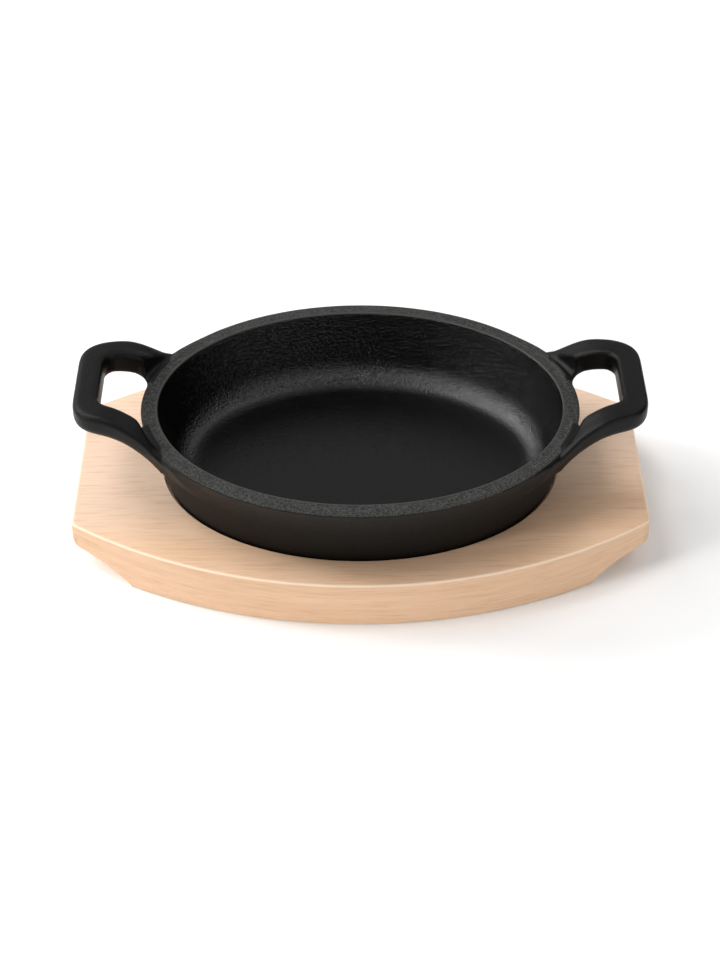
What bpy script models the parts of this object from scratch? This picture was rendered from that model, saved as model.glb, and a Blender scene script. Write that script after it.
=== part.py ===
"""An oval cast-iron serving pan with two raised loop handles, lying in the recess of a wooden board.

The pan is one casting that lifts off the board, and the board is one piece of wood. Lengths are in metres, +X runs
along the handles and +Z is up. The origin is the middle of the board's underside.
"""

import math

import bmesh
import bpy

# The board: two straight short ends, two long sides that are arcs.
BOARD_LENGTH = 0.1988
BOARD_WIDTH = 0.1258  # across the middle, from arc to arc
BOARD_END_WIDTH = 0.0628  # of a straight end, from arc to arc
BOARD_THICKNESS = 0.0182
BOARD_EDGE = 0.0012  # rounding of its edges
BOARD_CORNER = 0.0030  # rounding of its four upright corners

# The finger grips: a hollow along the underside of each end, highest at the end itself.
GRIP_HEIGHT = 0.0080  # at its highest, over the underside
GRIP_REACH = 0.0204  # from the end of the board to where the hollow runs out
GRIP_LIP = 0.0030  # rounding between the hollow and the board's end
GRIP_OVERCUT = 0.0100  # how far its cutter stands out below and beyond the board

# The recess that holds the pan.
RECESS_DEPTH = 0.0030
RECESS_CLEARANCE = 0.0009  # round the pan's wall
RECESS_EDGE = 0.0004  # rounding of its mouth
SEAT_GAP = 0.0003  # between pieces that touch

# The pan's outside.
RIM_LENGTH = 0.1520
RIM_WIDTH = 0.1171
BASE_LENGTH = 0.1363  # of the underside, were its edge sharp
BASE_WIDTH = 0.0982
PAN_HEIGHT = 0.0299  # from the underside to the rim
BASE_EDGE = 0.0015  # rounding round the underside
RIM_EDGE = 0.0008  # rounding of the rim's outer edge

# The pan's inside.
RIM_BAND = 0.0060  # width of the flat band round the mouth
BAND_FALL = 0.0003  # how much lower the band is at its outer edge
FLOOR_THICKNESS = 0.0040
CAVITY_DRAFT = math.radians(14)  # of the inner wall, from upright
CAVITY_FILLET = 0.0100  # radius between the inner wall and the floor
MOUTH_EDGE = 0.0004  # breaks the edge between band and inner wall

# The handles: a bar on two arms, which rise from the rim as they run out.
HANDLE_REACH = 0.0214  # from the end of the rim to the outside of the bar
HANDLE_RISE = 0.0114  # of the bar's top over the rim
HANDLE_WIDTH = 0.0088
HANDLE_THICKNESS = 0.0087  # of the bar
ARM_SPREAD_RIM = 0.0441  # between the arms' middles, where they cross the rim's outline
ARM_SPREAD_BAR = 0.0322  # between the arms' middles, where they would meet the bar's middle
HANDLE_CORNER = 0.0092  # bend radius between arm and bar
ARM_DEPTH = 0.0098  # from the rim down to an arm's underside, at its root
ROOT_SINK = 0.0012  # how far under the rim an arm's top comes out of the wall
ARM_ROOT = 0.0100  # how far an arm runs on inside the rim's outline
TOP_SQUARENESS = 4.5  # exponent of the section's upper half: 2 is round, more is squarer
INNER_SQUARENESS = 4.2  # of its lower half, on the side of the loop
BAR_SQUARENESS = 2.7  # of its lower half, on the outside of the bar
ROOT_SQUARENESS = 2.0  # of its lower half, on the outside of an arm's root
SLOPE_EASING = 0.3  # share of the slope over which it turns square to the arm, past the bend
CORNER_FULLNESS = 0.0009  # extra width outside, halfway round a bend
SHOULDER_REACH = 0.0010  # extra width at the top of an arm's outside
SHOULDER_START = 0.0900  # from the pan's middle to where the shoulder begins
SHOULDER_END = 0.0760  # from the pan's middle to where it has its whole width

# The fillets that widen an arm where it meets the wall.
OUTER_FILLET_RUN = 0.0075  # how far along the arm from the rim it starts
OUTER_FILLET_RADIUS = 0.0200
INNER_FILLET_RUN = 0.0075
INNER_FILLET_RADIUS = 0.0040
OUTER_FILLET_LEAN = 0.9  # how much shorter its run gets per metre under the rim
INNER_FILLET_LEAN = 0.5  # how much shorter its run gets per metre over the rim
FILLET_LIMIT = 0.0080  # most that a fillet widens the arm, inside the wall

# The space over the rim that the arms leave clear: from the rim it curves up and away like a quarter of an ellipse.
FLANK_HEIGHT = 0.0070
FLANK_SETBACK = 0.0036  # at the ends
FLANK_NARROWING = 0.0080  # at the long sides

OVAL_POINTS = 112
SECTION_POINTS = 20
ARM_STEPS = 14
ARC_STEPS = 6
BOARD_ARC_STEPS = 40
GRIP_STEPS = 12
CORNER_SEGMENTS = 4
BOARD_EDGE_SEGMENTS = 3

PAN_BOTTOM = BOARD_THICKNESS - RECESS_DEPTH + SEAT_GAP


def collection(name):
    """A new collection of this name in the scene."""
    made = bpy.data.collections.new(name)
    bpy.context.scene.collection.children.link(made)
    return made


def material(name, colour, roughness):
    """A plain material for one piece."""
    made = bpy.data.materials.new(name)
    made.use_nodes = True
    shader = made.node_tree.nodes["Principled BSDF"]
    shader.inputs["Base Color"].default_value = (*colour, 1)
    shader.inputs["Roughness"].default_value = roughness
    shader.inputs["Metallic"].default_value = 0
    return made


def place(name, mesh, where, holder, location=(0, 0, 0)):
    """An object with this mesh, in this collection, under this holder."""
    made = bpy.data.objects.new(name, mesh)
    where.objects.link(made)
    made.parent = holder
    made.location = location
    return made


def cutter(name, mesh, where, holder, location=(0, 0, 0)):
    """A helper that a Boolean uses, kept out of the render."""
    made = place(name, mesh, where, holder, location)
    made.hide_render = True
    made.display_type = "WIRE"
    return made


def combine(target, other, operation):
    """Joins the other mesh to this one, or cuts it away."""
    step = target.modifiers.new(f"{operation.lower()} {other.name}", "BOOLEAN")
    step.operation = operation
    step.solver = "EXACT"
    step.object = other


def mesh_of(name, made):
    """The bmesh as a mesh, with its faces turned outwards."""
    bmesh.ops.recalc_face_normals(made, faces=made.faces)
    mesh = bpy.data.meshes.new(name)
    made.to_mesh(mesh)
    made.free()
    return mesh


def loft(name, sections):
    """A closed solid through sections that have the same number of points."""
    made = bmesh.new()
    loops = []
    for section in sections:
        loops.append([made.verts.new(point) for point in section])
    for lower, upper in zip(loops, loops[1:]):
        for i in range(len(lower)):
            made.faces.new((lower[i - 1], lower[i], upper[i], upper[i - 1]))
    made.faces.new(loops[0])
    made.faces.new(loops[-1])
    for face in made.faces:
        face.smooth = len(face.verts) == 4
    return mesh_of(name, made)


def oval(half_length, half_width, height):
    """The points of a level ellipse."""
    turns = [2 * math.pi * i / OVAL_POINTS for i in range(OVAL_POINTS)]
    return [(half_length * math.cos(a), half_width * math.sin(a), height) for a in turns]


def ovals(outline, profile):
    """One ellipse for each point of the profile: how far inside the outline it lies, and its height."""
    sections = []
    for inset, height in profile:
        half_length, half_width = outline(height)
        sections.append(oval(half_length - inset, half_width - inset, height))
    return sections


def wall_outline(height):
    """Half the length and half the width of the outer wall, at this height over the pan's underside."""
    share = height / PAN_HEIGHT
    half_length = BASE_LENGTH / 2 + share * (RIM_LENGTH - BASE_LENGTH) / 2
    half_width = BASE_WIDTH / 2 + share * (RIM_WIDTH - BASE_WIDTH) / 2
    return half_length, half_width


def mouth_outline(height):
    """Half the length and half the width of the band's inner edge."""
    return RIM_LENGTH / 2 - RIM_BAND, RIM_WIDTH / 2 - RIM_BAND


def recess_outline(height):
    """Half the length and half the width of the recess, at this height over the board's underside."""
    half_length, half_width = wall_outline(BOARD_THICKNESS - PAN_BOTTOM)
    return half_length + RECESS_CLEARANCE, half_width + RECESS_CLEARANCE


def quarter(start, end):
    """The angles of an arc, in radians."""
    return [start + (end - start) * i / ARC_STEPS for i in range(ARC_STEPS + 1)]


def pan_blank_mesh():
    """The pan's outside, still solid: a tapered oval with both its edges rounded."""
    profile = []
    for a in quarter(0, math.pi / 2):
        profile.append((BASE_EDGE * (1 - math.sin(a)), BASE_EDGE * (1 - math.cos(a))))
    crown = PAN_HEIGHT - BAND_FALL
    for a in quarter(0, math.pi / 2):
        profile.append((RIM_EDGE * (1 - math.cos(a)), crown - RIM_EDGE * (1 - math.sin(a))))
    profile.append((RIM_BAND + MOUTH_EDGE, PAN_HEIGHT))
    return loft("pan_blank", ovals(wall_outline, profile))


def cavity_mesh():
    """The pan's inside: a level floor, a fillet, a wall with draft and a broken edge at the mouth."""
    depth = PAN_HEIGHT - FLOOR_THICKNESS
    tangent = CAVITY_FILLET * math.tan((math.pi / 2 - CAVITY_DRAFT) / 2)
    floor_inset = depth * math.tan(CAVITY_DRAFT) + tangent
    profile = []
    for a in quarter(0, math.pi / 2 - CAVITY_DRAFT):
        inset = floor_inset - CAVITY_FILLET * math.sin(a)
        profile.append((inset, FLOOR_THICKNESS + CAVITY_FILLET * (1 - math.cos(a))))
    profile.append((MOUTH_EDGE * math.tan(CAVITY_DRAFT), PAN_HEIGHT - MOUTH_EDGE))
    profile.append((-MOUTH_EDGE, PAN_HEIGHT))
    profile.append((-MOUTH_EDGE, PAN_HEIGHT + HANDLE_RISE))
    return loft("cavity", ovals(mouth_outline, profile))


def band_clearance_mesh():
    """The space over the rim that the arms leave free: it widens towards the handles and narrows across."""
    profile = [(0, -BAND_FALL)]
    for a in quarter(0, math.pi / 2):
        profile.append((math.sin(a), FLANK_HEIGHT * (1 - math.cos(a))))
    profile.append((1, 2 * HANDLE_RISE))
    sections = []
    for share, rise in profile:
        half_length = RIM_LENGTH / 2 + share * FLANK_SETBACK
        half_width = RIM_WIDTH / 2 - share * FLANK_NARROWING
        sections.append(oval(half_length, half_width, PAN_HEIGHT + rise))
    return loft("band_clearance", sections)


def rim_x(y):
    """How far out the rim's outline lies at this distance from the pan's long axis."""
    return RIM_LENGTH / 2 * math.sqrt(1 - (2 * y / RIM_WIDTH) ** 2)


BAR_X = RIM_LENGTH / 2 + HANDLE_REACH - HANDLE_WIDTH / 2
LEVEL_X = BAR_X - HANDLE_WIDTH / 2
CROSSING_X = rim_x(ARM_SPREAD_RIM / 2)
FOOT_X = rim_x((ARM_SPREAD_RIM + HANDLE_WIDTH) / 2)
NARROWING = (ARM_SPREAD_RIM - ARM_SPREAD_BAR) / 2
HEADING = math.atan2(NARROWING, BAR_X - CROSSING_X)
BEND = math.pi / 2 - HEADING
ARM_OUT = (math.sin(HEADING), math.cos(HEADING))
BEND_X = BAR_X - HANDLE_CORNER
BEND_SHARE = (LEVEL_X - BEND_X - HANDLE_CORNER * ARM_OUT[0]) / (LEVEL_X - FOOT_X)


def handle_path():
    """Plan points of the handle's middle line with the direction that points out of the loop at each."""
    tangent = HANDLE_CORNER * math.tan(BEND / 2)
    corner_y = ARM_SPREAD_BAR / 2
    arm_length = math.hypot(BAR_X - CROSSING_X, NARROWING) + ARM_ROOT - tangent
    stations = []
    for i in range(ARM_STEPS):
        back = tangent + arm_length * (1 - i / ARM_STEPS)
        stations.append((BAR_X - back * math.cos(HEADING), corner_y + back * math.sin(HEADING), ARM_OUT))
    for i in range(ARC_STEPS + 1):
        a = BEND * (1 - i / ARC_STEPS)
        out = (math.cos(a), math.sin(a))
        stations.append((BEND_X + HANDLE_CORNER * out[0], corner_y - tangent + HANDLE_CORNER * out[1], out))
    mirrored = [(x, -y, (out[0], -out[1])) for x, y, out in reversed(stations)]
    return stations + mirrored


def arm_share(x):
    """How far along the slope this place is: 0 at the level bar, 1 at the rim."""
    return max(0, (LEVEL_X - x) / (LEVEL_X - FOOT_X))


def slope_place(x, across):
    """Where on the slope a point at this distance outside the arm's middle line lies."""
    ahead = min(1, max(0, (arm_share(x) - BEND_SHARE) / SLOPE_EASING))
    return x + ARM_OUT[0] * max(0, across) * ahead


def top_of(x):
    """Height of the handle's top over the rim: a parabola from the rim up to the level bar."""
    return max(-ROOT_SINK, HANDLE_RISE * (1 - arm_share(x) ** 2))


def underside_of(x):
    """Height of the handle's underside over the rim: a parabola from the level bar down to the root."""
    level = HANDLE_RISE - HANDLE_THICKNESS
    return level - (level + ARM_DEPTH) * min(1, arm_share(x)) ** 2


def widening(x, over_rim, outwards):
    """How much the root fillet adds to the arm's outer or inner side at x, at this height over the rim."""
    if outwards:
        start = FOOT_X + OUTER_FILLET_RUN + OUTER_FILLET_LEAN * min(0, over_rim)
        radius = OUTER_FILLET_RADIUS
    else:
        inner_x = rim_x((ARM_SPREAD_RIM - HANDLE_WIDTH) / 2)
        start = inner_x + INNER_FILLET_RUN - INNER_FILLET_LEAN * max(0, over_rim)
        radius = INNER_FILLET_RADIUS
    return min(FILLET_LIMIT, max(0, start - x) ** 2 / (2 * radius))


def shoulder(x, lift):
    """How much fuller the outside of an arm is here, where lift is 0 at its underside and 1 at its top."""
    share = min(1, max(0, (SHOULDER_START - x) / (SHOULDER_START - SHOULDER_END)))
    return SHOULDER_REACH * share * share * (3 - 2 * share) * min(1, max(0, lift)) ** 2


def fullness(out):
    """How much wider the handle is on its outside, where it faces this way: most halfway round a bend."""
    turned = (math.atan2(out[0], abs(out[1])) - HEADING) / BEND
    return CORNER_FULLNESS * math.sin(math.pi * min(1, max(0, turned))) ** 2


def squared(value, squareness):
    """A sine or cosine, drawn out towards a square section."""
    return math.copysign(abs(value) ** (2 / squareness), value)


def handle_section(x, y, out):
    """The points of the upright section of the handle at this place: flat on top, rounder below and outside."""
    outer_squareness = BAR_SQUARENESS + (ROOT_SQUARENESS - BAR_SQUARENESS) * min(1, arm_share(x))
    points = []
    for i in range(SECTION_POINTS):
        a = 2 * math.pi * i / SECTION_POINTS
        outwards = math.cos(a) > 0
        squareness = outer_squareness if outwards else INNER_SQUARENESS
        if math.sin(a) >= 0:
            squareness = TOP_SQUARENESS
        half_width = HANDLE_WIDTH / 2 + (fullness(out) if outwards else 0)
        across = half_width * squared(math.cos(a), squareness)
        lift = (1 + squared(math.sin(a), squareness)) / 2
        slope_x = slope_place(x, across)
        over_rim = underside_of(slope_x) + lift * (top_of(slope_x) - underside_of(slope_x))
        added = widening(x + out[0] * across, over_rim, outwards)
        if outwards:
            added += shoulder(x, lift)
        across += added * across / half_width
        points.append((x + out[0] * across, y + out[1] * across, PAN_HEIGHT + over_rim))
    return points


def handle_mesh():
    """One handle, as a loft along its path."""
    return loft("handle", [handle_section(x, y, out) for x, y, out in handle_path()])


def make_pan(where, cutters, holder, iron):
    """The pan: the blank, a handle at each end, and the cavity cut through both."""
    seat = (0, 0, PAN_BOTTOM)
    pan = place("cast_iron_pan", pan_blank_mesh(), where, holder, seat)
    pan.data.materials.append(iron)
    clearance = cutter("band_clearance", band_clearance_mesh(), cutters, holder, seat)
    for end, turn in (("right", 0), ("left", math.pi)):
        handle = cutter(f"handle_{end}", handle_mesh(), cutters, holder, seat)
        handle.rotation_euler.z = turn
        combine(handle, clearance, "DIFFERENCE")
        combine(pan, handle, "UNION")
    cavity = cutter("cavity", cavity_mesh(), cutters, holder, seat)
    combine(pan, cavity, "DIFFERENCE")


def board_outline():
    """The board's plan: each long side is an arc through its corners and its middle."""
    half_length = BOARD_LENGTH / 2
    rise = (BOARD_WIDTH - BOARD_END_WIDTH) / 2
    radius = (half_length**2 + rise**2) / (2 * rise)
    sweep = math.asin(half_length / radius)
    points = []
    for side in (1, -1):
        for i in range(BOARD_ARC_STEPS + 1):
            a = sweep * (1 - 2 * i / BOARD_ARC_STEPS)
            y = BOARD_WIDTH / 2 - radius * (1 - math.cos(a))
            points.append((side * radius * math.sin(a), side * y, 0))
    return points


def extrude(made, vector):
    """Draws the one face of this bmesh out into a solid."""
    raised = bmesh.ops.extrude_face_region(made, geom=list(made.faces))["geom"]
    moved = [part for part in raised if isinstance(part, bmesh.types.BMVert)]
    bmesh.ops.translate(made, verts=moved, vec=vector)


def board_mesh():
    """The board's plan with its corners rounded, raised to its thickness."""
    made = bmesh.new()
    made.faces.new([made.verts.new(point) for point in board_outline()])
    rise = (BOARD_WIDTH - BOARD_END_WIDTH) / 2
    turn = math.pi / 2 - 2 * math.atan2(rise, BOARD_LENGTH / 2)
    corners = [vertex for vertex in made.verts if abs(vertex.co.x) > BOARD_LENGTH / 2 - BOARD_EDGE]
    bmesh.ops.bevel(
        made,
        geom=corners,
        offset=BOARD_CORNER * math.tan(turn / 2),
        segments=CORNER_SEGMENTS,
        profile=0.5,
        affect="VERTICES",
    )
    extrude(made, (0, 0, BOARD_THICKNESS))
    return mesh_of("board", made)


def arc(centre, radius, start, end, steps):
    """Points of an arc in the upright plane along the board, each with its distance out and its height."""
    angles = [start + (end - start) * i / steps for i in range(steps + 1)]
    return [(centre[0] + radius * math.cos(a), centre[1] + radius * math.sin(a)) for a in angles]


def grip_mesh():
    """The cutter that hollows out the underside of one end and rounds its lip; its x runs from the end outwards."""
    radius = (GRIP_REACH**2 + GRIP_HEIGHT**2) / (2 * GRIP_HEIGHT)
    middle = (0, GRIP_HEIGHT - radius)
    lean = math.asin(GRIP_LIP / (radius + GRIP_LIP))
    lip = (-GRIP_LIP, middle[1] + (radius + GRIP_LIP) * math.cos(lean))
    runs_out = math.pi - math.asin((radius - GRIP_HEIGHT - GRIP_LIP) / radius)
    outline = arc(middle, radius, runs_out, math.pi / 2 + lean, GRIP_STEPS)
    outline += arc(lip, GRIP_LIP, lean - math.pi / 2, 0, ARC_STEPS)[1:]
    outline.append((GRIP_OVERCUT, lip[1]))
    outline.append((GRIP_OVERCUT, -GRIP_OVERCUT))
    outline.append((outline[0][0], -GRIP_OVERCUT))
    made = bmesh.new()
    made.faces.new([made.verts.new((x, -BOARD_WIDTH, z)) for x, z in outline])
    extrude(made, (0, 2 * BOARD_WIDTH, 0))
    return mesh_of("grip", made)


def recess_mesh():
    """The oval recess, with the edge of its mouth rounded off."""
    profile = [(0, BOARD_THICKNESS - RECESS_DEPTH), (0, BOARD_THICKNESS - RECESS_EDGE)]
    for a in quarter(0, math.pi / 2)[1:]:
        sunk = RECESS_EDGE * (1 - math.sin(a))
        profile.append((-RECESS_EDGE * (1 - math.cos(a)), BOARD_THICKNESS - sunk))
    profile.append((-RECESS_EDGE, BOARD_THICKNESS + RECESS_DEPTH))
    return loft("recess", ovals(recess_outline, profile))


def make_board(where, cutters, holder, wood):
    """The board: its outline, the grips, the rounded edges and last the recess."""
    board = place("wooden_board", board_mesh(), where, holder)
    board.data.materials.append(wood)
    for end, side, turn in (("right", 1, 0), ("left", -1, math.pi)):
        grip = cutter(f"grip_{end}", grip_mesh(), cutters, holder, (side * BOARD_LENGTH / 2, 0, 0))
        grip.rotation_euler.z = turn
        combine(board, grip, "DIFFERENCE")
    edges = board.modifiers.new("edges", "BEVEL")
    edges.width = BOARD_EDGE
    edges.segments = BOARD_EDGE_SEGMENTS
    edges.limit_method = "ANGLE"
    edges.angle_limit = math.radians(30)
    recess = cutter("recess", recess_mesh(), cutters, holder)
    combine(board, recess, "DIFFERENCE")


def main():
    """Clears the scene and builds the pan and its board."""
    for old in list(bpy.data.objects):
        bpy.data.objects.remove(old)
    pieces = collection("oval_serving_pan")
    cutters = collection("cutters")
    cutters.hide_render = True
    holder = bpy.data.objects.new("serving_set", None)
    pieces.objects.link(holder)
    iron = material("cast_iron", (0.021, 0.021, 0.022), 0.55)
    wood = material("beech", (0.72, 0.50, 0.33), 0.6)
    make_board(pieces, cutters, holder, wood)
    make_pan(pieces, cutters, holder, iron)


main()
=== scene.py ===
"""An oval cast-iron serving pan in the recess of its beech board, on a pale studio floor.

Lengths are in metres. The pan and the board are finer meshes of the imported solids, with cast
fillets at the roots of the handles and rounded edges on the board.
"""

import math

import bmesh
import bpy
import numpy as np
from mathutils import Matrix, Vector


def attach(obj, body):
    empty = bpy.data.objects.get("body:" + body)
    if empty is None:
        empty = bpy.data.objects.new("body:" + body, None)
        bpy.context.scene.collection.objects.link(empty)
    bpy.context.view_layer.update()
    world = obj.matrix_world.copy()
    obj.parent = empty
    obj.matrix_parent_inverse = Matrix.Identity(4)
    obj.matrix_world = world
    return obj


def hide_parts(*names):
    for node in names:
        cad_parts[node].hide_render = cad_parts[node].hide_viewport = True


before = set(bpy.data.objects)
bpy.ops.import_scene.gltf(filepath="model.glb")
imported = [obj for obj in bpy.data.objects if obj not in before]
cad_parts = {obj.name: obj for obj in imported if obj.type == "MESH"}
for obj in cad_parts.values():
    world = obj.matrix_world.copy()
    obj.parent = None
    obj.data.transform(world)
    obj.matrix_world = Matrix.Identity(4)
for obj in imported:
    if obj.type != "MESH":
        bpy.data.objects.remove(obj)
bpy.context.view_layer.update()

# The board.
BOARD_LENGTH = 0.1988
BOARD_WIDTH = 0.1258
BOARD_END_WIDTH = 0.0628
BOARD_THICKNESS = 0.0182
BOARD_EDGE = 0.0012
BOARD_CORNER = 0.0030
BOARD_CORNER_LIMIT = 0.0016  # The most that a corner's rounding takes off a side.
BOARD_END_MARGIN = 0.0001  # Points this close to an end's line belong to a corner.
GRIP_HEIGHT = 0.0080
GRIP_REACH = 0.0204
GRIP_LIP = 0.0030
GRIP_OVERCUT = 0.0100  # How far the grips' cutter stands out of the board.
RECESS_DEPTH = 0.0030
RECESS_CLEARANCE = 0.0005
RECESS_EDGE = 0.0004
SEAT_GAP = 0.0003

# The pan.
RIM_LENGTH = 0.1520
RIM_WIDTH = 0.1171
BASE_LENGTH = 0.1363
BASE_WIDTH = 0.0982
PAN_HEIGHT = 0.0299
BASE_EDGE = 0.0015
RIM_EDGE = 0.0008
RIM_BAND = 0.0060
BAND_FALL = 0.0003
FLOOR_THICKNESS = 0.0040
CAVITY_DRAFT = math.radians(14)
CAVITY_FILLET = 0.0100
MOUTH_EDGE = 0.0005
BAND_TOLERANCE = 0.0005  # Faces this near the band's height belong to it.
PAN_BOTTOM = BOARD_THICKNESS - RECESS_DEPTH + SEAT_GAP

# Its handles: loops whose arms slope up from the rim to a level bar.
HANDLE_REACH = 0.0214
HANDLE_RISE = 0.0114
HANDLE_WIDTH = 0.0088
HANDLE_THICKNESS = 0.0087
ARM_SPREAD_RIM = 0.0441
ARM_SPREAD_BAR = 0.0322
HANDLE_CORNER = 0.0092
ARM_DEPTH = 0.0098  # How far under the rim the arm's underside meets the wall.
ROOT_SINK = 0.0012  # How far under the rim the arm's top ends.
ARM_ROOT = 0.0100  # How far the arm runs on inside the rim's outline.
SLOPE_EASING = 0.3  # The share of the slope in which the arm's outer side gets ahead.

# How square the quarters of the handle's section are: 2 is round.
TOP_SQUARENESS = 4.5
INNER_SQUARENESS = 4.2
BAR_SQUARENESS = 2.7
ROOT_SQUARENESS = 2.0

# Where the handle is wider than its bar.
SHOULDER_REACH = 0.0010
SHOULDER_START = 0.0900
SHOULDER_END = 0.0760
CORNER_FULLNESS = 0.0009
OUTER_FILLET_RUN = 0.0075
OUTER_FILLET_RADIUS = 0.0200
OUTER_FILLET_LEAN = 0.9
INNER_FILLET_RUN = 0.0075
INNER_FILLET_RADIUS = 0.0040
INNER_FILLET_LEAN = 0.5
FILLET_LIMIT = 0.0034

# The space over the rim that the arms leave free, and the blends where they meet band and wall.
FLANK_HEIGHT = 0.0070
FLANK_SETBACK = 0.0036
FLANK_NARROWING = 0.0080
FLANK_FILLET = 0.0012
BAND_FILLET = 0.0034
ROOT_FILLET = 0.0040
FILLET_CHANGE = 0.0050  # How far down the band's fillet turns into the root's.
HANDLE_SINK = 0.0005  # How far inside the rim's outline the handle's surface counts.

# How finely the meshes are drawn.
OVAL_POINTS = 360
BASE_EDGE_STEPS = 8
WALL_RINGS = 22
RIM_EDGE_STEPS = 7
BAND_RINGS = 6
BAND_MARGIN = 0.0002
MOUTH_STEPS = 5
CAVITY_WALL_RINGS = 12
CAVITY_FILLET_STEPS = 14
FLOOR_SHARES = (0.93, 0.8, 0.6, 0.35, 0.12)
SECTION_POINTS = 56
ARM_STEPS = 44
HANDLE_CORNER_STEPS = 14
BAR_SHARES = (0.75, 0.5, 0.25)
CLEARANCE_STEPS = 24
BOARD_SIDE_STEPS = 120
BOARD_CORNER_STEPS = 8
BOARD_EDGE_STEPS = 6
GRIP_STEPS = 40
GRIP_LIP_STEPS = 12
RECESS_EDGE_STEPS = 5

# How the mesh at the handles' roots is settled onto the filleted surface.
WELD = 0.00002  # Vertices this close are one.
SLIVER = 0.00001  # Edges this short are dissolved.
ROOT_EDGES = (0.0014, 0.0011, 0.0009)  # The longest edge that each pass leaves.
ROOT_REACH = 0.0045  # Faces this near a handle are made finer,
ROOT_RUN = 0.0090  # as far as this outside the rim's outline.
NORMALS_REACH = 0.0070  # Vertices this near a handle are shaded by the filleted surface.
SETTLE_REACH = 0.0080  # Vertices this near a handle are settled,
SETTLE_INSET = 0.0048  # as far as this inside the rim's outline,
SETTLE_FADE = 0.0010  # less and less over this distance.
PAN_END = 0.0500  # Only what lies further from the middle than this,
LEAST_HEIGHT = 0.0040  # and higher than this, can be near a handle.
IN_FILLET = 0.00005  # Vertices further than this off the surface lie in a fillet.
SETTLE_TURNS = 10
EASED_TURNS = range(1, 6)  # The turns that also draw each vertex towards its neighbours,
EASING = 0.5  # by this share.
LONGEST_STEP = 0.0006
LEAST_STEEPNESS = 0.05

# The sizes of the iron's grain. Moulding sand and a grindstone's grit are 0.2 to 0.3 mm, too fine
# to show, so the skin and the ground rim are drawn with coarser grains. The pebbles inside the pan
# and the blotches of its seasoning have their own size.
SAND_GRAIN = 0.0007
SAND_DEPTH = 0.00014
PEBBLE = 0.0008
PEBBLE_DEPTH = 0.00055
GROUND_GRAIN = 0.0006
GROUND_DEPTH = 0.0003
WORN_DEPTH = 0.0002
BLOTCH = 0.009
BLOTCH_SPREAD = 0.05  # How much rougher or smoother a blotch is.

# How high over the pan's floor its smooth part ends, how high the oil reaches, and how far down
# from the rim the outside gets duller.
SMOOTH_HEIGHT = 0.004
OIL_HEIGHT = 0.010
DULLING_DEPTH = 0.012

# The beech's growth rings, its hair-fine lines and its pores: length along the board, width and
# depth. The real lines and pores are 0.1 to 0.3 mm wide, too fine to show, and are drawn wider.
BEECH_RINGS = (0.04545, 0.002778, 0.025)
BEECH_LINES = (0.0125, 0.0006667, 0.005556)
BEECH_PORES = (0.008333, 0.0004545, 0.003333)
PORE_DEPTH = 0.00003
SHEEN_START = -0.042  # Where across the board the top begins to be painted paler: a painted sheen of the lights behind and to the left.
SHEEN_SLANT = -0.15
SHEEN_SHARE = 0.8

# The camera.
CAMERA_ELEVATION = math.radians(41)
CAMERA_TURN = math.radians(0.613)
CAMERA_ROLL = math.radians(0.124)
CAMERA_DISTANCE = 0.691
CAMERA_LENS = 97.43
CAMERA_SENSOR = 36
AIM_HEIGHT = 0.01826
AIM_LEFT = 0.000064
AIM_DOWN = 0.006087

# The softboxes: name, azimuth (0 is straight behind, 90 to the right), elevation, size and power.
SOFTBOXES = (
    ("high left key", 270, 60, 1.0, 12),
    ("high back left key", 300, 60, 1.0, 6),
    ("back left key", 310, 38, 1.0, 7),
    ("low back left fill", 320, 24, 1.0, 3.5),
    ("back right fill", 45, 38, 1.0, 3.5),
    ("small left light", 285, 28, 0.45, 12),
    ("small front left light", 245, 22, 0.3, 13),
    ("back light", 0, 26, 2.0, 5.5),
    ("top fill", 0, 82, 2.0, 7),
    ("front fill", 180, 38, 1.0, 5),
    ("right front fill", 135, 14, 1.0, 8),
    ("right fill", 90, 60, 1.0, 4.5),
)
SOFTBOX_DISTANCE = 2.0
FLOOR_HALF = 0.5

# The places of the Mix node's sockets, many of which share a name.
MIX_SHARE = 0
MIX_NUMBERS = (2, 3)
MIX_COLOURS = (6, 7)
MIXED_NUMBER = 0
MIXED_COLOUR = 2


def hex_colour(code):
    """A linear colour from an sRGB hex value."""
    parts = [int(code[i : i + 2], 16) / 255 for i in (0, 2, 4)]
    return (*[p / 12.92 if p <= 0.04045 else ((p + 0.055) / 1.055) ** 2.4 for p in parts], 1)


def grey(value):
    """A plain number as the colour of a ramp's stop."""
    return (value, value, value, 1)


def add(tree, kind, inputs=None, **settings):
    """Adds a node with its settings and, for each input, a value or a socket to link."""
    made = tree.nodes.new(kind)
    for name, value in settings.items():
        setattr(made, name, value)
    for name, value in (inputs or {}).items():
        if isinstance(value, bpy.types.NodeSocket):
            tree.links.new(value, made.inputs[name])
        else:
            made.inputs[name].default_value = value
    return made


def set_stops(ramp, stops):
    """Gives a colour ramp these stops, each a position and a colour."""
    for position, _ in stops[1:-1]:
        ramp.elements.new(position)
    for stop, (position, colour) in zip(ramp.elements, stops):
        stop.position = position
        stop.color = colour


def place(name, data):
    """An object in the scene with this mesh, lamp or camera."""
    made = bpy.data.objects.new(name, data)
    bpy.context.scene.collection.objects.link(made)
    return made


def mesh_of(name, made):
    """The bmesh as a mesh, with its faces turned outwards."""
    bmesh.ops.recalc_face_normals(made, faces=made.faces)
    mesh = bpy.data.meshes.new(name)
    made.to_mesh(mesh)
    made.free()
    return mesh


def loft(name, sections):
    """A solid in the scene, through sections that have the same number of points."""
    made = bmesh.new()
    loops = []
    for section in sections:
        loops.append([made.verts.new(point) for point in section])
    for lower, upper in zip(loops, loops[1:]):
        for i in range(len(lower)):
            made.faces.new((lower[i - 1], lower[i], upper[i], upper[i - 1]))
    made.faces.new(loops[0])
    made.faces.new(loops[-1])
    for face in made.faces:
        face.smooth = True
    return place(name, mesh_of(name, made))


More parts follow.
